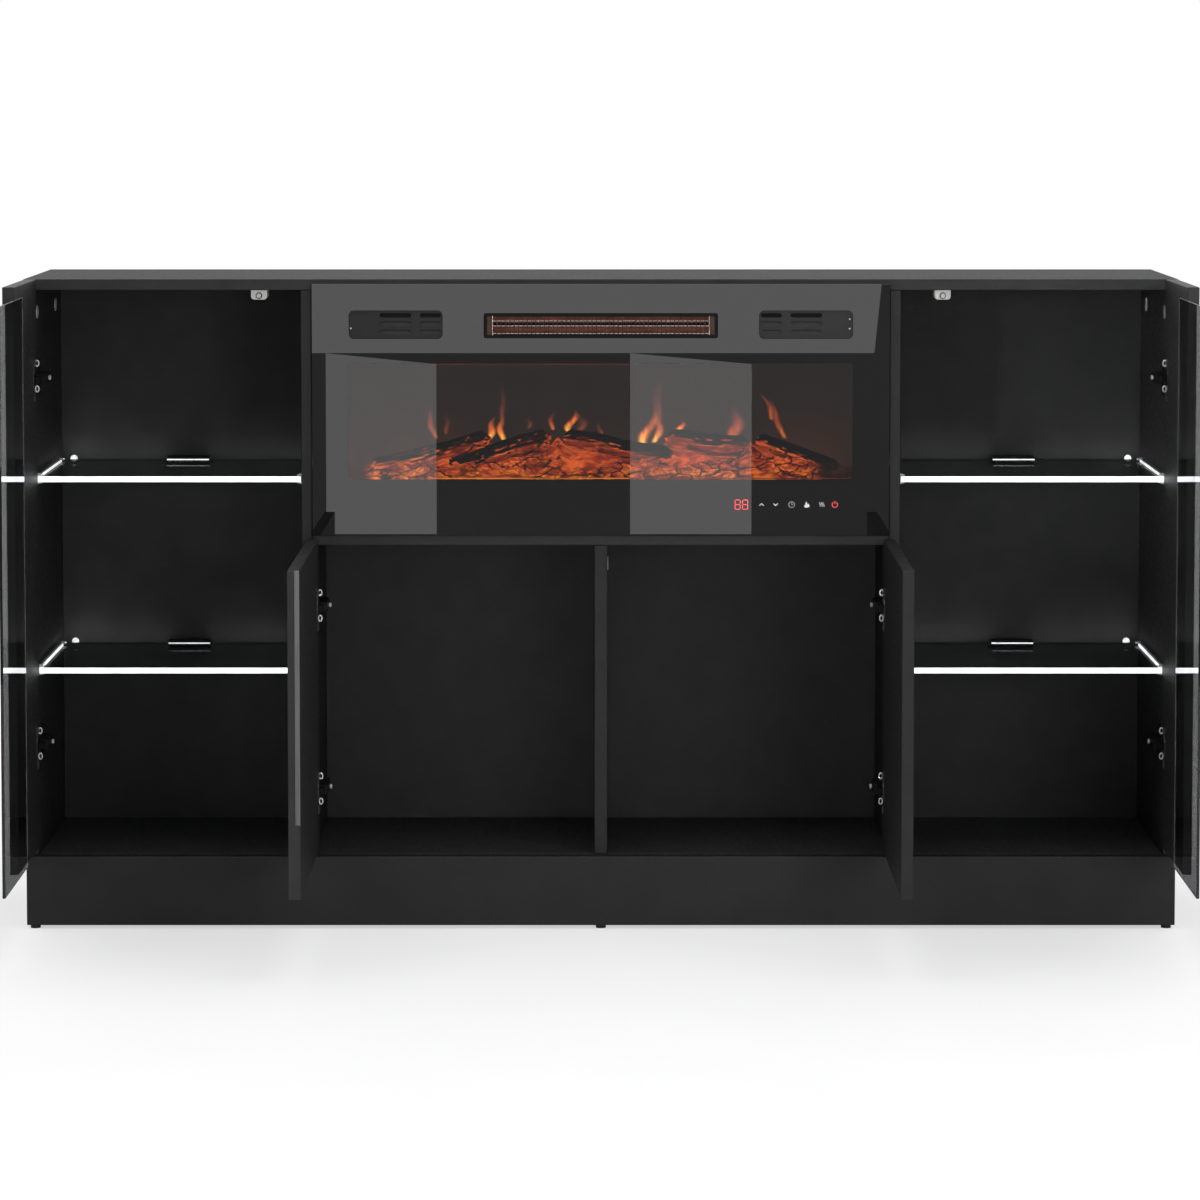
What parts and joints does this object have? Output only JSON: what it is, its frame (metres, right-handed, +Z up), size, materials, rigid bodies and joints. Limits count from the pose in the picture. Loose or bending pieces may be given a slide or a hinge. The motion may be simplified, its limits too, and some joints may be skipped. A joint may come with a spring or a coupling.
{
  "type": "fireplace sideboard",
  "caption": "Black sideboard with an electric fireplace in the middle, low hinged doors under it and tall glass-edged doors over lit glass shelves on both sides.",
  "frame": {"origin": "on the floor, under the middle of the object's box with all four doors open at a right angle", "axes": "+X to the right along the front, +Y to the back, +Z up; the doors open towards -Y"},
  "size_m": [1.6, 0.7386, 0.905],
  "materials": {
    "black_board": "black melamine, satin",
    "back_board": "black melamine, matt",
    "clear_glass": "clear tempered glass, polished edges",
    "smoked_glass": "smoked grey tempered glass",
    "black_glass": "black printed glass, gloss, clear at the window",
    "lamp_white": "white light diffuser",
    "nickel_steel": "nickel plated steel",
    "black_steel": "black powder coat, matt",
    "satin_aluminium": "satin",
    "white_plastic": "white, satin",
    "grille_wire": "bright wire",
    "hot_element": "glowing ceramic rods",
    "flame_diffuser": "translucent screen",
    "moulded_logs": "moulded resin, painted bark and glowing coals",
    "circuit_green": "circuit board"
  },
  "bodies": {
    "cabinet": {"top_board": "black_board", "bottom_board": "black_board", "fire_shelf_board": "black_board", "centre_divider_board": "black_board", "front_plinth_board": "black_board", "rear_plinth_board": "black_board", "left_side_board": "black_board", "left_divider_board": "black_board", "right_side_board": "black_board", "right_divider_board": "black_board", "back_panel": "back_board", "left_lower_glass_shelf": "clear_glass", "left_lower_shelf_lamp": "lamp_white", "left_upper_glass_shelf": "clear_glass", "left_upper_shelf_lamp": "lamp_white", "left_tall_door_lower_hinge_arm": "nickel_steel", "left_tall_door_upper_hinge_arm": "nickel_steel", "left_low_door_lower_hinge_arm": "nickel_steel", "left_low_door_upper_hinge_arm": "nickel_steel", "left_latch_housing": "white_plastic", "left_vent_insert": "black_steel", "right_lower_glass_shelf": "clear_glass", "right_lower_shelf_lamp": "lamp_white", "right_upper_glass_shelf": "clear_glass", "right_upper_shelf_lamp": "lamp_white", "right_tall_door_lower_hinge_arm": "nickel_steel", "right_tall_door_upper_hinge_arm": "nickel_steel", "right_low_door_lower_hinge_arm": "nickel_steel", "right_low_door_upper_hinge_arm": "nickel_steel", "right_latch_housing": "white_plastic", "right_vent_insert": "black_steel", "fire_front_glass": "black_glass", "fire_front_frame": "black_steel", "firebox_case": "black_steel", "heater_grille": "grille_wire", "heater_element": "hot_element", "blower_housing": "black_steel", "flame_screen": "flame_diffuser", "log_bed": "moulded_logs", "control_board": "circuit_green"},
    "left_tall_door": {"left_tall_door_panel": "black_board", "left_tall_door_lower_hinge_cup": "nickel_steel", "left_tall_door_upper_hinge_cup": "nickel_steel", "left_tall_door_glass": "smoked_glass"},
    "left_low_door": {"left_low_door_panel": "black_board", "left_low_door_lower_hinge_cup": "nickel_steel", "left_low_door_upper_hinge_cup": "nickel_steel", "left_low_door_grip_strip": "satin_aluminium"},
    "left_latch_plunger": {"left_latch_plunger": "white_plastic"},
    "right_tall_door": {"right_tall_door_panel": "black_board", "right_tall_door_lower_hinge_cup": "nickel_steel", "right_tall_door_upper_hinge_cup": "nickel_steel", "right_tall_door_glass": "smoked_glass"},
    "right_low_door": {"right_low_door_panel": "black_board", "right_low_door_lower_hinge_cup": "nickel_steel", "right_low_door_upper_hinge_cup": "nickel_steel"},
    "right_latch_plunger": {"right_latch_plunger": "white_plastic"},
    "flame_rod": {"flame_rod": "satin_aluminium"},
    "blower_wheel": {"blower_wheel": "satin_aluminium"}
  },
  "joints": [
    {"name": "left_tall_door_hinge", "type": "hinge", "parent": "cabinet", "child": "left_tall_door", "pos_m": [-0.791, 0.03125, 0.5], "axis": [0, 0, 1], "range_deg": [-5, 90]},
    {"name": "left_low_door_hinge", "type": "hinge", "parent": "cabinet", "child": "left_low_door", "pos_m": [-0.4016, 0.03125, 0.33], "axis": [0, 0, 1], "range_deg": [-5, 90]},
    {"name": "left_latch_plunger_slide", "type": "slide", "parent": "cabinet", "child": "left_latch_plunger", "axis": [0, 1, 0], "range_m": [0, 0.003], "stiffness_N_per_m": 300, "springref_m": -0.001},
    {"name": "right_tall_door_hinge", "type": "hinge", "parent": "cabinet", "child": "right_tall_door", "pos_m": [0.791, 0.03125, 0.5], "axis": [0, 0, -1], "range_deg": [-5, 90]},
    {"name": "right_low_door_hinge", "type": "hinge", "parent": "cabinet", "child": "right_low_door", "pos_m": [0.4016, 0.03125, 0.33], "axis": [0, 0, -1], "range_deg": [-5, 90]},
    {"name": "right_latch_plunger_slide", "type": "slide", "parent": "cabinet", "child": "right_latch_plunger", "axis": [0, 1, 0], "range_m": [0, 0.003], "stiffness_N_per_m": 300, "springref_m": -0.001},
    {"name": "flame_rod_spin", "type": "hinge", "parent": "cabinet", "child": "flame_rod", "pos_m": [0, 0.20935, 0.66], "axis": [1, 0, 0], "continuous": true},
    {"name": "blower_wheel_spin", "type": "hinge", "parent": "cabinet", "child": "blower_wheel", "pos_m": [0, 0.14435, 0.8435], "axis": [1, 0, 0], "continuous": true}
  ]
}
